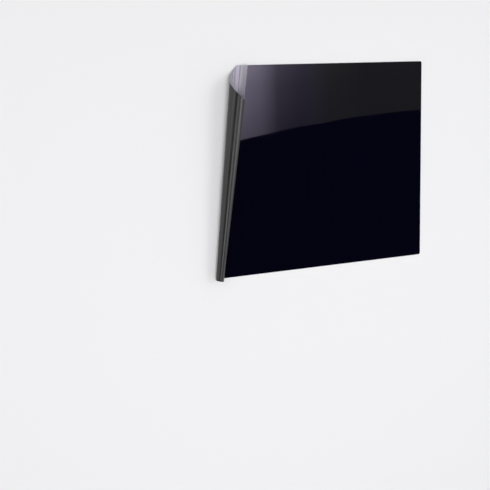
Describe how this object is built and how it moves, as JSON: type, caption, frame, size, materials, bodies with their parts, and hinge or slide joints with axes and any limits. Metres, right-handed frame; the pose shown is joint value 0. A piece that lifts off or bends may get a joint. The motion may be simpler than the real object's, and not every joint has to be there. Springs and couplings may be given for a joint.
{
  "type": "privacy filter",
  "caption": "Thin dark glossy film that narrows the viewing angle of a display, lying flat with its left side curled up and over into a slim cone open at its upper end.",
  "frame": {"origin": "centre of the bounding box's lower face, on the surface that the film lies on", "axes": "+Z out of the film's front face, +X towards the film's right edge, away from the curl, +Y towards the film's top edge, where the curl's mouth is"},
  "size_m": [0.348, 0.304, 0.0232],
  "materials": {
    "film": "dark gloss film, satin on its back"
  },
  "bodies": {
    "root": {"privacy_film": "film"}
  },
  "joints": []
}
